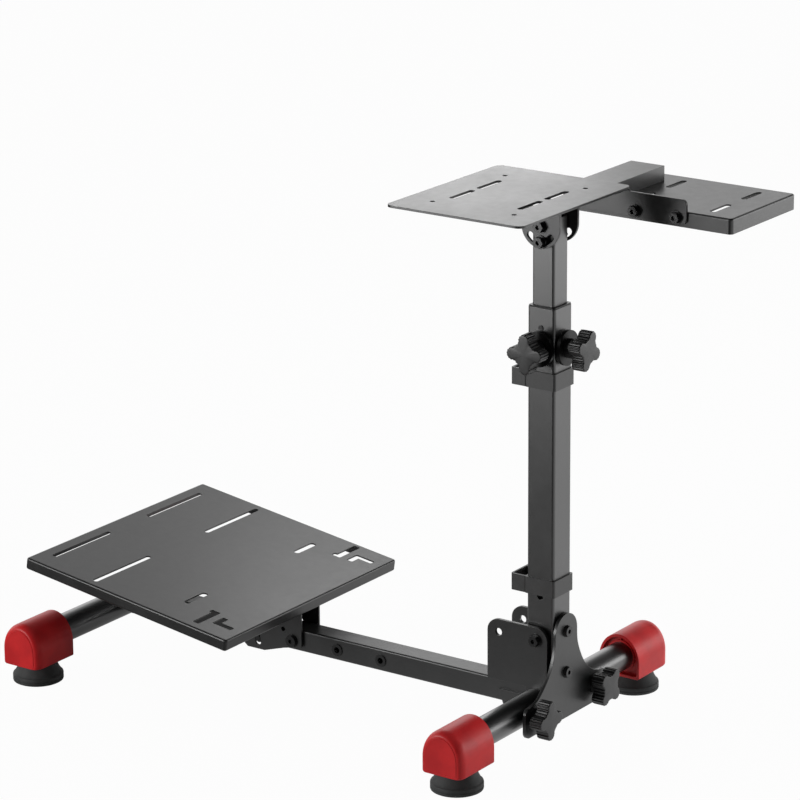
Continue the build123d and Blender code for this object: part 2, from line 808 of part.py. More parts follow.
# Bracket that straddles the beam, cut by the plate's underside
with BuildPart() as pedal_bracket:
    with BuildSketch(Plane(origin=(-bracket_in - bracket_t, pivot_y, tube_z), x_dir=(0, 1, 0), z_dir=(1, 0, 0))):
        with BuildLine():
            Polyline(
                (-bracket_near, pedal_z),
                (-bracket_near, -bracket_nose),
                (knee_y, -knee_z),
                (sole_y, -sole_z),
                (sole_end, -sole_z),
                (bracket_far, heel_z),
                (bracket_far, pedal_z),
                close=True,
            )
        make_face()
    extrude(amount=2 * (bracket_in + bracket_t))
    with BuildSketch(pedal_plane.offset(-pedal_t)):
        Rectangle(pedal_w, 2 * wheelbase)
    extrude(amount=wheelbase, mode=Mode.SUBTRACT)
    with BuildSketch(pedal_plane.offset(-pedal_t - bracket_t)):
        Rectangle(2 * bracket_in, 2 * wheelbase)
    extrude(amount=-wheelbase, mode=Mode.SUBTRACT)
    with Locations((0, pivot_y, tube_z)):
        Cylinder(m8 / 2 + pin_gap, 2 * post_w, rotation=(0, 90, 0), mode=Mode.SUBTRACT)
    with Locations((0, pivot_y + side_hole_y, tube_z + side_hole_z)):
        Cylinder(side_hole / 2, 2 * post_w, rotation=(0, 90, 0), mode=Mode.SUBTRACT)
    with BuildSketch(Plane.YZ.offset(-post_w)):
        with BuildLine(mode=Mode.PRIVATE) as arc_line:
            CenterArc((pivot_y, tube_z), arc_r, arc_low, arc_span)
        SlotArc(arc_line.edge(), slot_w)
    extrude(amount=2 * post_w, mode=Mode.SUBTRACT)

# Pivot bolt with round heads and a locking bolt that ends level with the bracket
with BuildPart() as pedal_bolts:
    for bolt_y, bolt_z in ((pivot_y, tube_z), (lock_y, lock_z)):
        with Locations((0, bolt_y, bolt_z)):
            Cylinder(m8 / 2, 2 * (bracket_in + bracket_t + bolt_gap), rotation=(0, 90, 0))
        for side in (-1, 1):
            with Locations((side * (bracket_in + beam_w / 2) / 2, bolt_y, bolt_z)):
                Cylinder(collar_r, bracket_in - beam_w / 2 - bolt_gap, rotation=(0, 90, 0))
    for side in (-1, 1):
        with Locations(outward(side, bracket_in + bracket_t + bolt_gap, pivot_y, tube_z)):
            add(disc_head.part)


def star_knob(shank, stud, turn):
    # Lobed knob with a shank and a stub of its stud, pointing up from the origin
    with BuildPart() as knob:
        with BuildSketch(Plane.XY.offset(shank)) as star_profile:
            Circle(star_core)
            with PolarLocations(star_r - lobe_r, lobe_count, start_angle=turn):
                Circle(lobe_r)
            fillet(star_profile.vertices(), valley_r)
        extrude(amount=star_h)
        fillet(knob.faces().sort_by(Axis.Z)[-1].edges(), star_edge)
        Cylinder(shank_r, shank, align=(Align.CENTER, Align.CENTER, Align.MIN))
        Cylinder(m8 / 2, stud, align=(Align.CENTER, Align.CENTER, Align.MAX))
    return knob.part


with BuildPart() as lower_knob_right:
    with Locations(Plane(origin=(knob_x, -front_back - front_t, knob_z), x_dir=(1, 0, 0), z_dir=(0, -1, 0))):
        add(star_knob(low_shank, low_stud, right_lobe))

with BuildPart() as lower_knob_left:
    with Locations(Plane(origin=(-knob_x, -front_back - front_t, knob_z), x_dir=(1, 0, 0), z_dir=(0, -1, 0))):
        add(star_knob(low_shank, low_stud, left_lobe))

# The height knobs have a longer shank and stand on the bosses
with BuildPart() as height_knob_front:
    with Locations(front_face.offset(boss_neck + boss_t)):
        add(star_knob(tall_shank, tall_stud, front_lobe))

with BuildPart() as height_knob_side:
    with Locations(side_face.offset(boss_neck + boss_t)):
        add(star_knob(tall_shank, tall_stud, side_lobe))

pieces = {
    "front_tube": front_tube,
    "rear_tube": rear_tube,
    "main_beam": main_beam,
    "beam_inserts": beam_inserts,
    "front_saddle": front_saddle,
    "rear_saddle": rear_saddle,
    "cap_front_left": cap_front_left,
    "cap_front_right": cap_front_right,
    "cap_rear_left": cap_rear_left,
    "cap_rear_right": cap_rear_right,
    "foot_front_left": foot_front_left,
    "foot_front_right": foot_front_right,
    "foot_rear_left": foot_rear_left,
    "foot_rear_right": foot_rear_right,
    "ear_left": ear_left,
    "ear_right": ear_right,
    "fold_bolt": fold_bolt,
    "outer_post": outer_post,
    "front_plate": front_plate,
    "plate_spacer": plate_spacer,
    "plate_bolts": plate_bolts,
    "front_boss": front_boss,
    "side_boss": side_boss,
    "post_bush": post_bush,
    "bush_screw": bush_screw,
    "lower_clip": lower_clip,
    "upper_clip": upper_clip,
    "inner_post": inner_post,
    "deck_bolts": deck_bolts,
    "deck_ear_left": deck_ear_left,
    "deck_ear_right": deck_ear_right,
    "wheel_plate": wheel_plate,
    "shifter_bracket": shifter_bracket,
    "shifter_tray": shifter_tray,
    "tray_brace": tray_brace,
    "tray_bolts": tray_bolts,
    "pedal_plate": pedal_plate,
    "pedal_bracket": pedal_bracket,
    "pedal_bolts": pedal_bolts,
    "lower_knob_left": lower_knob_left,
    "lower_knob_right": lower_knob_right,
    "height_knob_front": height_knob_front,
    "height_knob_side": height_knob_side,
}

# The row origin is the middle of the footprint, on the floor
shift_x = (tray_x + tray_w - cap_out) / 2
shift_y = (tray_near + wheelbase + foot_r) / 2

for name, piece in pieces.items():
    solid = piece.part.moved(Location((-shift_x, -shift_y, 0)))
    solid.label = name
    export_step(solid, f"parts/{name}.step")
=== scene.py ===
import json
import math

import bpy
import numpy as np
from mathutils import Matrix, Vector


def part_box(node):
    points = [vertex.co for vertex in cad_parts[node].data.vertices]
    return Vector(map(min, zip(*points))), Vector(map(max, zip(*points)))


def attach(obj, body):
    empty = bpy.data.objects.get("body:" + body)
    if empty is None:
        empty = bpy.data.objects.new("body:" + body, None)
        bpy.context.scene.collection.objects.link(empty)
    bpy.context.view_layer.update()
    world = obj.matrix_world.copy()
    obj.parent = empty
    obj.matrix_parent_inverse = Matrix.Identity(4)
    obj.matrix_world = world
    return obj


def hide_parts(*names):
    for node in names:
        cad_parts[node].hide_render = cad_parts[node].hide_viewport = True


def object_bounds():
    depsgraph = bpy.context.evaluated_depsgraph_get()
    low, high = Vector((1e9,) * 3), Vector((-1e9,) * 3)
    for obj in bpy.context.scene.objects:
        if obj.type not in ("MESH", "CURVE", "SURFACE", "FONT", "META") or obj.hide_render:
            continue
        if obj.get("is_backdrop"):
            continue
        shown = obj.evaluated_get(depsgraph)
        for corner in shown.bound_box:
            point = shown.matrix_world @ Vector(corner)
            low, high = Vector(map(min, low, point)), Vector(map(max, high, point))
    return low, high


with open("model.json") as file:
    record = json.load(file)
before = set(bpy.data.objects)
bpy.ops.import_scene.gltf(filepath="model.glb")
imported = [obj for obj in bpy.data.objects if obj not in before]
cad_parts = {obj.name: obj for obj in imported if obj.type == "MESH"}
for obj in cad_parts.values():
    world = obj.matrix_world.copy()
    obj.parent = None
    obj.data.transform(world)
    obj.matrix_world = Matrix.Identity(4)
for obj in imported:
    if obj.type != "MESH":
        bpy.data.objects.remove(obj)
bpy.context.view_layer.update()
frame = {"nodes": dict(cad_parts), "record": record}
nodes = frame["nodes"]
scene = bpy.context.scene
mm = 0.001
print("frame loaded")


# Camera at the photograph's angle

camera = {
    "place": (-3.8724, -2.7619, 1.8551),
    "turn": 56.2,  # degrees from +Y towards +X
    "dip": 16.92,  # degrees below level
    "lens": 174.13,
    "sensor": 36.0,
    "shiftX": -0.1194,
    "shiftY": -0.0085,
    "farthest": 60.0,
}

cameraData = bpy.data.cameras.new("camera")
cameraData.lens = camera["lens"]
cameraData.sensor_width = camera["sensor"]
cameraData.shift_x = camera["shiftX"]
cameraData.shift_y = camera["shiftY"]
cameraData.clip_end = camera["farthest"]
cameraObject = bpy.data.objects.new("camera", cameraData)
scene.collection.objects.link(cameraObject)
turn, dip = math.radians(camera["turn"]), math.radians(camera["dip"])
looks = Vector((math.sin(turn) * math.cos(dip), math.cos(turn) * math.cos(dip), -math.sin(dip)))
cameraObject.location = camera["place"]
cameraObject.rotation_mode = "QUATERNION"
cameraObject.rotation_quaternion = looks.to_track_quat("-Z", "Y")
scene.camera = cameraObject


# Shader maths as plain expressions

class Wire:
    # One output socket: operators add Math nodes, and node() adds any other node

    def __init__(self, tree, socket=None):
        self.tree = tree
        self.socket = socket

    def node(self, kind, settings=None, inputs=None, out=0):
        made = self.tree.nodes.new(kind)
        for key, value in (settings or {}).items():
            setattr(made, key, value)
        for key, value in (inputs or {}).items():
            if isinstance(value, Wire):
                self.tree.links.new(value.socket, made.inputs[key])
            else:
                made.inputs[key].default_value = value
        return Wire(self.tree, made.outputs[out] if made.outputs else None)

    def maths(self, operation, a, b=0.0):
        return self.node("ShaderNodeMath", {"operation": operation}, {0: a, 1: b})

    def __add__(self, other):
        return self.maths("ADD", self, other)

    def __sub__(self, other):
        return self.maths("SUBTRACT", self, other)

    def __rsub__(self, other):
        return self.maths("SUBTRACT", other, self)

    def __mul__(self, other):
        return self.maths("MULTIPLY", self, other)

    __radd__ = __add__
    __rmul__ = __mul__

    def clamp(self, low, high):
        return self.maths("MINIMUM", self.maths("MAXIMUM", self, low), high)

    def ramp(self, low, high):
        # 0 below low, 1 above high, smooth between
        return self.node("ShaderNodeMapRange", {"interpolation_type": "SMOOTHSTEP"},
                         {"Value": self, "From Min": low, "From Max": high})

    def dot(self, other):
        return self.node("ShaderNodeVectorMath", {"operation": "DOT_PRODUCT"}, {0: self, 1: other}, out="Value")


def noise(graph, place, scale, detail=3.0, rough=0.55):
    return graph.node("ShaderNodeTexNoise", {}, {"Vector": place, "Scale": scale, "Detail": detail,
                                                 "Roughness": rough})


def mix(graph, factor, first, second):
    return graph.node("ShaderNodeMix", {"data_type": "RGBA"}, {0: factor, 6: first, 7: second}, out=2)


def shade(tone, lift=1.0):
    return (tone[0] * lift, tone[1] * lift, tone[2] * lift, 1.0)


def grey(level):
    return (level, level, level, 1.0)


def bump(graph, height, strength, distance, normal=None):
    inputs = {"Strength": strength, "Distance": distance, "Height": height}
    if normal:
        inputs["Normal"] = normal
    return graph.node("ShaderNodeBump", {}, inputs)


def startGraph(owner):
    # An empty node tree in a material or in the world
    owner.use_nodes = True
    owner.node_tree.nodes.clear()
    return Wire(owner.node_tree)


def startMaterial(name):
    # A material, its graph and the place of a point on the piece
    material = bpy.data.materials.new(name)
    graph = startGraph(material)
    return material, graph, graph.node("ShaderNodeTexCoord", out="Object")


def finishSurface(graph, inputs):
    # Fixed values are set on the shader's own sockets, and the rest is wired to them
    surface = graph.node("ShaderNodeBsdfPrincipled", {}, inputs)
    graph.node("ShaderNodeOutputMaterial", {}, {"Surface": surface})


# Finishes

powder = {
    "dark": (0.0085, 0.0087, 0.0088),
    "light": (0.0145, 0.0148, 0.0148),
    # paler colour on the rounded edges: painted highlight, partly wear
    "edgeSheenAndWear": (0.05, 0.05, 0.049),
    "edge": 0.9 * mm,
    "edgeSamples": 4,
    "edgeBend": (0.01, 0.16),
    "edgeSheenAndWearShare": (0.35, 0.5),  # least, and how much the blotches add
    "mottleEdge": (0.35, 0.68),
    "glossSpread": (0.08, 0.06),  # by blotches and by mottling
    "mottleScale": 14.0,
    "mottleDetail": 4.0,
    "blotchScale": 95.0,
    "peelScale": 1100.0,
    "peelDetail": 2.0,
    "peelStrength": 0.10,
    "peelDepth": 0.2 * mm,
}


def powderCoat(name, lift, gloss, shine, coat=0.0):
    # Satin black powder coat: fine orange peel, soft mottling, and a paler colour on the rounded edges that is painted
    # highlight and partly wear
    material, graph, place = startMaterial(name)
    mottle = noise(graph, place, powder["mottleScale"], powder["mottleDetail"])
    peel = noise(graph, place, powder["peelScale"], powder["peelDetail"])
    blotch = noise(graph, place, powder["blotchScale"])
    rounded = graph.node("ShaderNodeBevel", {"samples": powder["edgeSamples"]}, {"Radius": powder["edge"]})
    flat = graph.node("ShaderNodeNewGeometry", out="Normal")
    # Painted highlight, partly wear: the rounded edges, where the bevelled normal turns from the flat one, get a paler
    # colour
    edge = (1.0 - rounded.dot(flat)).ramp(*powder["edgeBend"])
    body = mix(graph, mottle.ramp(*powder["mottleEdge"]), shade(powder["dark"], lift), shade(powder["light"], lift))
    least, added = powder["edgeSheenAndWearShare"]
    colour = mix(graph, edge * (least + added * blotch), body, shade(powder["edgeSheenAndWear"]))
    byBlotch, byMottle = powder["glossSpread"]
    roughness = (gloss + byBlotch * blotch) + byMottle * (mottle - 0.5)
    normal = bump(graph, peel, powder["peelStrength"], powder["peelDepth"], rounded)
    finishSurface(graph, {"Base Color": colour, "Roughness": roughness, "Normal": normal, "Coat Weight": coat,
                          "Coat Roughness": gloss, "Specular IOR Level": shine})
    return material


plasticRed = {
    "deep": (0.50, 0.008, 0.011),
    "bright": (0.64, 0.014, 0.016),
    "shine": 0.36,
    "gloss": 0.34,
    "glossSpread": (0.08, 0.04),  # by flow marks and by grain
    "flowEdge": (0.3, 0.7),
    "flowScale": 26.0,
    "grainScale": 1500.0,
    "grainDetail": 2.0,
    "grainStrength": 0.08,
    "grainDepth": 0.2 * mm,
}


def redPlastic():
    # Satin moulded plastic with flow marks and a fine spark grain
    material, graph, place = startMaterial("red plastic")
    flow = noise(graph, place, plasticRed["flowScale"])
    grain = noise(graph, place, plasticRed["grainScale"], plasticRed["grainDetail"])
    colour = mix(graph, flow.ramp(*plasticRed["flowEdge"]), shade(plasticRed["deep"]), shade(plasticRed["bright"]))
    byFlow, byGrain = plasticRed["glossSpread"]
    roughness = plasticRed["gloss"] + byFlow * flow + byGrain * grain
    normal = bump(graph, grain, plasticRed["grainStrength"], plasticRed["grainDepth"])
    finishSurface(graph, {"Base Color": colour, "Roughness": roughness, "Normal": normal,
                          "Specular IOR Level": plasticRed["shine"]})
    return material


plasticBlack = {
    "glossSpread": (0.12, 0.05),  # by patches and by grain
    "patchEdge": (0.3, 0.7),
    "patchScale": 60.0,
    "grainScale": 1700.0,
    "grainDetail": 2.0,
    "grainDepth": 0.3 * mm,
}


def grainedPlastic(name, dark, light, gloss, strength, shine=0.5):
    # Black moulded plastic or rubber with a fine grain
    material, graph, place = startMaterial(name)
    patch = noise(graph, place, plasticBlack["patchScale"])
    grain = noise(graph, place, plasticBlack["grainScale"], plasticBlack["grainDetail"])
    colour = mix(graph, patch.ramp(*plasticBlack["patchEdge"]), shade(dark), shade(light))
    byPatch, byGrain = plasticBlack["glossSpread"]
    roughness = gloss + byPatch * patch + byGrain * grain
    normal = bump(graph, grain, strength, plasticBlack["grainDepth"])
    finishSurface(graph, {"Base Color": colour, "Roughness": roughness, "Normal": normal,
                          "Specular IOR Level": shine})
    return material


oxideLook = {
    "dark": (0.007, 0.007, 0.0075),
    "bruised": (0.04, 0.04, 0.04),
    "shine": 0.6,
    "gloss": 0.20,
    "glossSpread": 0.16,
    "metal": (0.1, 0.3),  # least, and how much the spots add
    "spotEdge": (0.64, 0.8),
    "metalEdge": (0.6, 0.8),
    "spotScale": 420.0,
    "spotStrength": 0.12,
    "spotDepth": 0.2 * mm,
}


def blackOxide():
    # Oiled black oxide on fasteners, a little metal at the bruised spots
    material, graph, place = startMaterial("black oxide")
    spots = noise(graph, place, oxideLook["spotScale"])
    colour = mix(graph, spots.ramp(*oxideLook["spotEdge"]), shade(oxideLook["dark"]), shade(oxideLook["bruised"]))
    roughness = oxideLook["gloss"] + oxideLook["glossSpread"] * spots
    least, added = oxideLook["metal"]
    metal = least + added * spots.ramp(*oxideLook["metalEdge"])
    normal = bump(graph, spots, oxideLook["spotStrength"], oxideLook["spotDepth"])
    finishSurface(graph, {"Base Color": colour, "Roughness": roughness, "Metallic": metal, "Normal": normal,
                          "Specular IOR Level": oxideLook["shine"]})
    return material


steelCoat = powderCoat("powder coat", lift=1.0, gloss=0.31, shine=0.74)
postCoat = powderCoat("post coat", lift=1.0, gloss=0.31, shine=0.95, coat=0.5)
# Painted shade: the tubes take the same powder coat with its colour darkened to 0.45 of the rest
shadedTubeCoat = powderCoat("tube coat darkened as shade", lift=0.45, gloss=0.29, shine=0.95, coat=0.6)
capPlastic = redPlastic()
knobPlastic = grainedPlastic("knob plastic", dark=(0.005, 0.005, 0.0052), light=(0.010, 0.010, 0.0102), gloss=0.30,
                             strength=0.10, shine=0.66)
bandPlastic = grainedPlastic("band plastic", dark=(0.012, 0.012, 0.012), light=(0.020, 0.020, 0.020), gloss=0.36,
                             strength=0.12, shine=0.75)
bushPlastic = grainedPlastic("bush plastic", dark=(0.003, 0.003, 0.003), light=(0.006, 0.006, 0.006), gloss=0.26,
                             strength=0.08, shine=0.3)
footRubber = grainedPlastic("foot rubber", dark=(0.020, 0.022, 0.022), light=(0.036, 0.038, 0.038), gloss=0.60,
                            strength=0.35)
oxide = blackOxide()
print("materials made")

finishes = {
    "outer_post": postCoat,
    "inner_post": postCoat,
    "front_tube": shadedTubeCoat,
    "rear_tube": shadedTubeCoat,
    "post_bush": bushPlastic,
    "plate_spacer": bushPlastic,
    "front_boss": bushPlastic,
    "side_boss": bushPlastic,
    "bush_screw": oxide,
    "lower_clip": bandPlastic,
    "upper_clip": bandPlastic,
}
slotFinishes = {
    "black_steel": steelCoat,
    "red_cap": capPlastic,
    "foot_rubber": footRubber,
    "black_plastic": knobPlastic,
    "dark_bolt": oxide,
}
slotOf = {row["node"]: row["material_slot"] for row in frame["record"]["subparts"]}

for nodeName, item in nodes.items():
    item.data.materials.clear()
    item.data.materials.append(finishes.get(nodeName, slotFinishes[slotOf[nodeName]]))
print("frame nodes dressed")


# Surfaces on a grid

def gridMesh(name, points):
    # points[i, j] is row i along the profile and column j around it, and a pole closes each end
    rows, columns, _ = points.shape
    row = np.arange(rows - 1)[:, None] * columns
    around = np.arange(columns)
    following = (around + 1) % columns
    quads = np.stack([row + around, row + following, row + columns + following, row + columns + around], axis=-1)
    last = (rows - 1) * columns
    startPole = np.full(columns, rows * columns)
    endPole = startPole + 1
    vertices = np.vstack([points.reshape(-1, 3), points[0].mean(axis=0), points[-1].mean(axis=0)])
    faces = quads.reshape(-1, 4).tolist()
    faces += np.stack([startPole, following, around], axis=-1).tolist()
    faces += np.stack([endPole, last + around, last + following], axis=-1).tolist()
    mesh = bpy.data.meshes.new(name)
    mesh.from_pydata(vertices.tolist(), [], faces)
    mesh.update()
    return mesh


def placed(points, centre, axis):
    # Turns local (u, v, w) so that w runs along a level axis and v points up, and moves it to the centre
    v = np.array((0.0, 0.0, 1.0))
    u = np.cross(v, axis)
    return points[..., 0:1] * u + points[..., 1:2] * v + points[..., 2:3] * axis + centre


def finishPiece(name, mesh, material, body, sharpAngle):
    piece = bpy.data.objects.new(name, mesh)
    scene.collection.objects.link(piece)
    mesh.materials.append(material)
    mesh.shade_smooth()
    mesh.set_sharp_from_angle(angle=math.radians(sharpAngle))
    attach(piece, body)
    return piece


def runningLength(points):
    # Length along a line up to each of its points
    return np.concatenate([[0.0], np.cumsum(np.linalg.norm(np.diff(points, axis=0), axis=1))])


def evenSteps(points, count):
    # Places at even steps along a closed outline whose last point is its first
    length = runningLength(points)
    steps = np.linspace(0.0, length[-1], count, endpoint=False)
    return np.stack([np.interp(steps, length, points[:, k]) for k in (0, 1)], axis=-1)


# Star knobs

knob = {
    "lobes": 4,
    "core": 16.5 * mm,
    "lobeAt": 17.6 * mm,
    "lobe": 8.2 * mm,
    "valley": 5.5 * mm,
    "height": 18.0 * mm,
    "solidHeight": 16.0 * mm,  # of the CAD's knob
    "edge": 1.7 * mm,
    "flutePitch": 4.0 * mm,
    "fluteDepth": 0.9 * mm,
    "fluteSharpness": 1.3,
    "columnsPerFlute": 12,
    "outlineSteps": 6001,
    "undercut": 0.6 * mm,
    "underEdge": (0.5 * mm, 0.4 * mm),  # drawn in and raised
    "wallStart": 1.0 * mm,
    "wallRows": 6,
    "edgeRows": 8,
    "dome": 0.4 * mm,
    "domeRings": (0.93, 0.8, 0.6, 0.4, 0.2),
    "shank": 12.5 * mm,
    "flare": 0.8 * mm,
    "flareShare": 1.05,
    "gap": 0.2 * mm,  # between the shank and what it is screwed against
    "sharp": 35.0,  # degrees between faces
    "turns": {  # degrees about the stud
        "lower_knob_left": 88.0,
        "lower_knob_right": 47.0,
        "height_knob_front": 67.0,
        "height_knob_side": 92.0,
    },
}


def lobedRadius(angle):
    # Radius at an angle: a lobe circle, then a hollow circle that touches it and the core, then the core circle
    core, reach, lobe, hollow = knob["core"], knob["lobeAt"], knob["lobe"], knob["valley"]
    step = 2 * np.pi / knob["lobes"]
    off = np.abs((angle + step / 2) % step - step / 2)
    away = core + hollow
    hollowTurn = math.acos((away ** 2 + reach ** 2 - (lobe + hollow) ** 2) / (2 * away * reach))
    share = lobe / (lobe + hollow)
    touchX = reach + share * (away * math.cos(hollowTurn) - reach)
    touchY = share * away * math.sin(hollowTurn)
    touchTurn = math.atan2(touchY, touchX)
    onLobe = reach * np.cos(off) + np.sqrt(np.maximum(lobe ** 2 - (reach * np.sin(off)) ** 2, 0.0))
    past = hollowTurn - off
    inHollow = away * np.cos(past) - np.sqrt(np.maximum(hollow ** 2 - (away * np.sin(past)) ** 2, 0.0))
    return np.where(off < touchTurn, onLobe, np.where(off < hollowTurn, inHollow, core))


def starOutline(turnDegrees):
    # Points at even steps along the lobed outline, the inward direction at each, and the groove share: 0 on the
    # ribs and 1 in the grooves, a raised cosine once per flute
    angle = np.linspace(0.0, 2 * np.pi, knob["outlineSteps"])
    radius = lobedRadius(angle - math.radians(turnDegrees))
    line = np.stack([radius * np.cos(angle), radius * np.sin(angle)], axis=-1)
    flutes = round(runningLength(line)[-1] / knob["flutePitch"])
    rim = evenSteps(line, flutes * knob["columnsPerFlute"])
    along = np.roll(rim, -1, axis=0) - np.roll(rim, 1, axis=0)
    inward = np.stack([-along[:, 1], along[:, 0]], axis=-1)
    inward /= np.linalg.norm(inward, axis=1)[:, None]
    phase = np.linspace(0.0, 2 * np.pi * flutes, len(rim), endpoint=False)
    groove = (0.5 - 0.5 * np.cos(phase)) ** knob["fluteSharpness"]
    return rim, inward, groove[:, None]


def starKnob(name, centre, axis, neck, turnDegrees):
    # A round shank, then the lobed outline moved inward row by row: an underside, a fluted wall, a rounded edge
    # where the flutes fade, and a shallow dome
    rim, inward, groove = starOutline(turnDegrees)
    unit = rim / np.linalg.norm(rim, axis=1)[:, None]
    edge, height, depth, shank = knob["edge"], knob["height"], knob["fluteDepth"], knob["shank"]
    drawn, raised = knob["underEdge"]
    rows = [(unit * shank, knob["gap"] - neck), (unit * shank, -knob["flare"]),
            (unit * shank * knob["flareShare"], 0.0), (rim + inward * (depth + knob["undercut"]), 0.0),
            (rim + inward * (drawn + depth * groove), raised)]
    for level in np.linspace(knob["wallStart"], height - edge, knob["wallRows"]):
        rows.append((rim + inward * depth * groove, level))
    for bend in np.linspace(0.0, np.pi / 2, knob["edgeRows"])[1:]:
        inset = edge * (1 - np.cos(bend)) + depth * groove * np.cos(bend)
        rows.append((rim + inward * inset, height - edge + edge * np.sin(bend)))
    face = rim + inward * edge
    for share in knob["domeRings"]:
        rows.append((face * share, height + knob["dome"] * (1 - share ** 2)))
    points = np.zeros((len(rows), len(rim), 3))
    for index, (flat, level) in enumerate(rows):
        points[index, :, :2] = flat
        points[index, :, 2] = level
    return gridMesh(name, placed(points, centre, axis))


knobJoints = {row["child"]: row for row in frame["record"]["behaviour"]["joints"]}
knobBodies = {names[0]: body for body, names in frame["record"]["behaviour"]["bodies"].items()}
for nodeName, turnDegrees in knob["turns"].items():
    body = knobBodies[nodeName]
    axis = np.array(knobJoints[body]["axis"], float)
    seat = np.array(knobJoints[body]["pos_m"], float)
    low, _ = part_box(nodeName)
    main = np.argmax(np.abs(axis))
    neck = abs(low[main] - seat[main]) - knob["solidHeight"]  # what the CAD's knob has behind its grip
    mesh = starKnob(nodeName + "_star", seat + axis * neck, axis, neck, turnDegrees)
    piece = finishPiece(nodeName + "_star", mesh, knobPlastic, body, knob["sharp"])
    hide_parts(nodeName)
print("knobs made")


# Rubber feet

foot = {
    "columns": 144,
    # radius and height in millimetres
    "sole": ((24.0, 0.0), (24.6, 0.8), (27.0, 0.8), (27.6, 0.0), (31.6, 0.0), (33.0, 0.7), (33.4, 1.8), (33.4, 4.0),
             (32.7, 4.5), (32.7, 5.5), (33.4, 6.0), (33.4, 8.8), (33.0, 10.0), (31.9, 10.6)),
    "neck": (24.6, 29.4),
    "waist": 1.6,
    "top": (23.4, 30.0),
    "neckRows": 12,
    "sharp": 30.0,  # degrees between faces
}


def footMesh(name, low, high):
    # A turned profile: the sole with its rim, then a neck that is a straight line drawn in by a parabola, then the top
    share = np.linspace(0.0, 1.0, foot["neckRows"])[1:, None]
    start, end = np.array(foot["sole"][-1]), np.array(foot["neck"])
    neck = start + share * (end - start) - share * (1 - share) * np.array((4 * foot["waist"], 0.0))
    radius, height = np.vstack([foot["sole"], neck, foot["top"]])[:, :, None].transpose(1, 0, 2) * mm
    angle = np.linspace(0.0, 2 * np.pi, foot["columns"], endpoint=False)
    points = np.stack([radius * np.cos(angle), radius * np.sin(angle), height + 0.0 * angle], axis=-1)
    return gridMesh(name, points + np.array(((low[0] + high[0]) / 2, (low[1] + high[1]) / 2, low[2])))


for nodeName in ("foot_front_left", "foot_front_right", "foot_rear_left", "foot_rear_right"):
    mesh = footMesh(nodeName + "_rubber", *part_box(nodeName))
    piece = finishPiece(nodeName + "_rubber", mesh, footRubber, "base", foot["sharp"])
    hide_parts(nodeName)
print("feet made")


# End caps

cap = {
    "side": 30.8 * mm,
    "top": 85.2 * mm,
    "shoulder": 48.0 * mm,  # height at which the straight sides end
    "bottom": 27.2 * mm,
    "corner": 3.0 * mm,
    "length": 74.0 * mm,
    "roundAcross": 6.5 * mm,
    "roundAlong": 12.5 * mm,
    "roundLift": 0.12,  # of the inset, at the bottom
    "panelInset": 7.0 * mm,
    "panelLift": 3.0 * mm,
    "panelRise": 0.8 * mm,
    "panelMiddle": (18.48 * mm, 12.32 * mm),
    "wall": 4.0 * mm,
    "lip": 0.5 * mm,
    "mouth": 4.0 * mm,
    "collar": 2.4 * mm,
    "pocket": 2.6 * mm,
    "rib": 2.4 * mm,
    "ribAt": 26.6 * mm,  # radius at which a rib has that width
    "tubeMiddle": 54.5 * mm,
    "tube": 19.0 * mm,
    "seat": 40.0 * mm,
    "columns": 240,
    "archSteps": 90,
    "cornerSteps": 8,
    "roundRows": 12,
    "sharp": 32.0,  # degrees between faces
}


def archOutline(inset, lift):
    # Even steps round a half ellipse on straight sides with rounded lower corners, drawn in by the inset at the
    # sides and the top, and raised by the lift at the bottom
    side, low, rise = cap["side"] - inset, cap["bottom"] + lift, cap["top"] - cap["shoulder"] - inset
    corner = cap["corner"]
    turn = np.linspace(0.0, np.pi, cap["archSteps"])
    arch = np.stack([side * np.cos(turn), cap["shoulder"] + rise * np.sin(turn)], axis=-1)
    bend = np.linspace(np.pi, 1.5 * np.pi, cap["cornerSteps"])
    left = np.stack([corner - side + corner * np.cos(bend), low + corner + corner * np.sin(bend)], axis=-1)
    right = left[::-1] * np.array((-1.0, 1.0))
    return evenSteps(np.vstack([arch, left, right, arch[:1]]), cap["columns"])


def capMesh(name, across, mouthX, direction):
    # The arch moved along the tube: a bore for the tube, a shallow recess with a collar and ribs, a rim, the outer
    # wall, a rounded end edge and a slightly raised panel
    middle = np.array((0.0, cap["tubeMiddle"]))
    wall, lip, mouth, collar = cap["wall"], cap["lip"], cap["mouth"], cap["tube"] + cap["collar"]
    floor = archOutline(wall, wall)
    unit = (floor - middle) / np.linalg.norm(floor - middle, axis=1)[:, None]
    onRib = np.min(np.abs(unit), axis=1) * cap["ribAt"] < cap["rib"] / 2
    recess = mouth + np.where(onRib, 0.0, cap["pocket"])
    rows = [(unit * cap["tube"] + middle, cap["seat"]), (unit * cap["tube"] + middle, mouth),
            (unit * collar + middle, mouth), (unit * collar + middle, recess), (floor, recess), (floor, lip),
            (archOutline(wall - lip, wall - lip), 0.0), (archOutline(lip, lip), 0.0), (archOutline(0.0, 0.0), lip)]
    flat = cap["length"] - cap["panelRise"]
    for bend in np.linspace(0.0, np.pi / 2, cap["roundRows"]):
        inset, back = cap["roundAcross"] * (1 - np.cos(bend)), cap["roundAlong"] * (1 - np.sin(bend))
        rows.append((archOutline(inset, cap["roundLift"] * inset), flat - back))
    inset, lift = cap["panelInset"], cap["panelLift"]
    rows += [(archOutline(inset, lift), flat), (archOutline(inset + lip, lift + lip), cap["length"]),
             (archOutline(*cap["panelMiddle"]), cap["length"])]
    points = np.zeros((len(rows), cap["columns"], 3))
    for index, (outline, along) in enumerate(rows):
        points[index, :, 0] = mouthX + direction * along
        points[index, :, 1] = across + outline[:, 0]
        points[index, :, 2] = outline[:, 1]
    return gridMesh(name, points if direction > 0 else points[:, ::-1])  # either way the faces point outwards


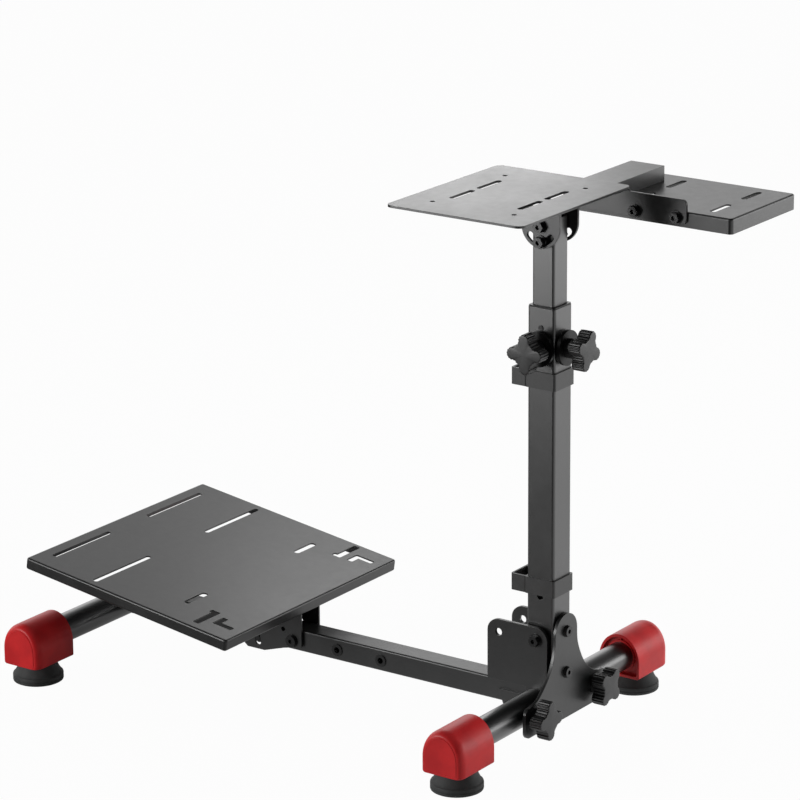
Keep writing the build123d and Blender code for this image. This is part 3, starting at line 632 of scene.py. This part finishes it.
for nodeName in ("cap_front_left", "cap_front_right", "cap_rear_left", "cap_rear_right"):
    low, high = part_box(nodeName)
    direction = 1 if "right" in nodeName else -1  # away from the middle, which the mouth faces
    mesh = capMesh(nodeName + "_shell", (low[1] + high[1]) / 2, low[0] if direction > 0 else high[0], direction)
    piece = finishPiece(nodeName + "_shell", mesh, capPlastic, "base", cap["sharp"])
    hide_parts(nodeName)
print("caps made")


# Stage and light

stage = {
    "floorSize": 40.0,
    "floorTone": 0.5,
    "cameraWhite": 0.97,
    "mirrorWhite": 1.0,
    "mirrorDim": 0.06,
    "mirrorSide": (0.83, -0.56, 0.0),
    "mirrorEdge": (-0.6, 0.5),
    "worldBand": 1.35,
    "worldEdge": (0.24, 0.56),
    "worldLean": (0.0, -0.25, 1.0),
    "worldTop": 0.36,
    "mirrorTop": 0.05,
    "worldShade": 0.10,
    "shadeSide": (-0.83, -0.56, 0.0),
    "shadeEdge": (0.1, 0.8),
    "lamps": {
        "right": {"place": (2.1, -1.75, 0.50), "aim": (0.0, -0.2, 0.36), "wide": 2.0, "tall": 0.8, "power": 10.0},
        "fill": {"place": (2.1, -1.75, 0.50), "aim": (0.0, -0.2, 0.36), "wide": 2.0, "tall": 0.8, "power": 33.0,
                 "mirrored": False},
        "rear": {"place": (1.06, 0.62, 0.92), "aim": (0.0, -0.06, 0.11), "wide": 0.5, "tall": 0.36, "power": 1.15},
        "left": {"place": (-2.1, 1.2, 0.55), "aim": (0.0, -0.1, 0.4), "wide": 1.0, "tall": 1.0, "power": 23.0},
    },
}


def ray(graph, kind):
    return graph.node("ShaderNodeLightPath", out=kind)


def makeFloor():
    half = stage["floorSize"] / 2
    mesh = bpy.data.meshes.new("floor")
    mesh.from_pydata([(-half, -half, 0.0), (half, -half, 0.0), (half, half, 0.0), (-half, half, 0.0)], [],
                     [(0, 1, 2, 3)])
    material, graph, place = startMaterial("floor")
    matte = graph.node("ShaderNodeBsdfDiffuse", {}, {"Color": grey(stage["floorTone"])})
    white = graph.node("ShaderNodeEmission", {}, {"Color": grey(1.0), "Strength": 1.0})
    # Metal and glass see a floor that is white on its right front side and dim on the other
    side = place.dot(stage["mirrorSide"])
    seen = mix(graph, side.ramp(*stage["mirrorEdge"]), grey(stage["mirrorDim"]), grey(stage["mirrorWhite"]))
    mirrored = graph.node("ShaderNodeEmission", {}, {"Color": seen, "Strength": 1.0})
    bounced = (ray(graph, "Is Glossy Ray") + ray(graph, "Is Transmission Ray")).clamp(0.0, 1.0)
    first = graph.node("ShaderNodeMixShader", {}, {0: ray(graph, "Is Camera Ray") * stage["cameraWhite"], 1: matte,
                                                   2: white})
    blend = graph.node("ShaderNodeMixShader", {}, {0: bounced, 1: first, 2: mirrored})
    graph.node("ShaderNodeOutputMaterial", {}, {"Surface": blend})
    mesh.materials.append(material)
    floor = bpy.data.objects.new("floor", mesh)
    scene.collection.objects.link(floor)
    floor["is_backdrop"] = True


def makeWorld():
    world = bpy.data.worlds.new("studio")
    scene.world = world
    graph = startGraph(world)
    # The studio is palest near the horizon, higher up behind the stand, and darker overhead and round the viewer
    place = graph.node("ShaderNodeTexCoord", out="Generated")
    facing = place.dot(stage["shadeSide"])
    height = place.dot(stage["worldLean"])
    overhead = mix(graph, ray(graph, "Is Glossy Ray"), grey(stage["worldTop"]), grey(stage["mirrorTop"]))
    upper = mix(graph, height.ramp(*stage["worldEdge"]), grey(stage["worldBand"]), overhead)
    tone = mix(graph, facing.ramp(*stage["shadeEdge"]), upper, grey(stage["worldShade"]))
    soft = graph.node("ShaderNodeBackground", {}, {"Color": tone, "Strength": 1.0})
    white = graph.node("ShaderNodeBackground", {}, {"Color": grey(1.0), "Strength": 1.0})
    both = graph.node("ShaderNodeMixShader", {}, {0: ray(graph, "Is Camera Ray"), 1: soft, 2: white})
    graph.node("ShaderNodeOutputWorld", {}, {"Surface": both})


def makeLamp(name, place, aim, wide, tall, power, mirrored=True):
    data = bpy.data.lights.new(name, "AREA")
    data.shape = "ELLIPSE"
    data.size = wide
    data.size_y = tall
    data.energy = power
    lamp = bpy.data.objects.new(name, data)
    scene.collection.objects.link(lamp)
    lamp.visible_glossy = mirrored
    lamp.location = place
    lamp.rotation_mode = "QUATERNION"
    lamp.rotation_quaternion = (Vector(aim) - Vector(place)).to_track_quat("-Z", "Y")


makeFloor()
makeWorld()
for lampName, values in stage["lamps"].items():
    makeLamp(lampName, **values)
scene.view_settings.view_transform = "Standard"
print("stage made")

low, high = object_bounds()
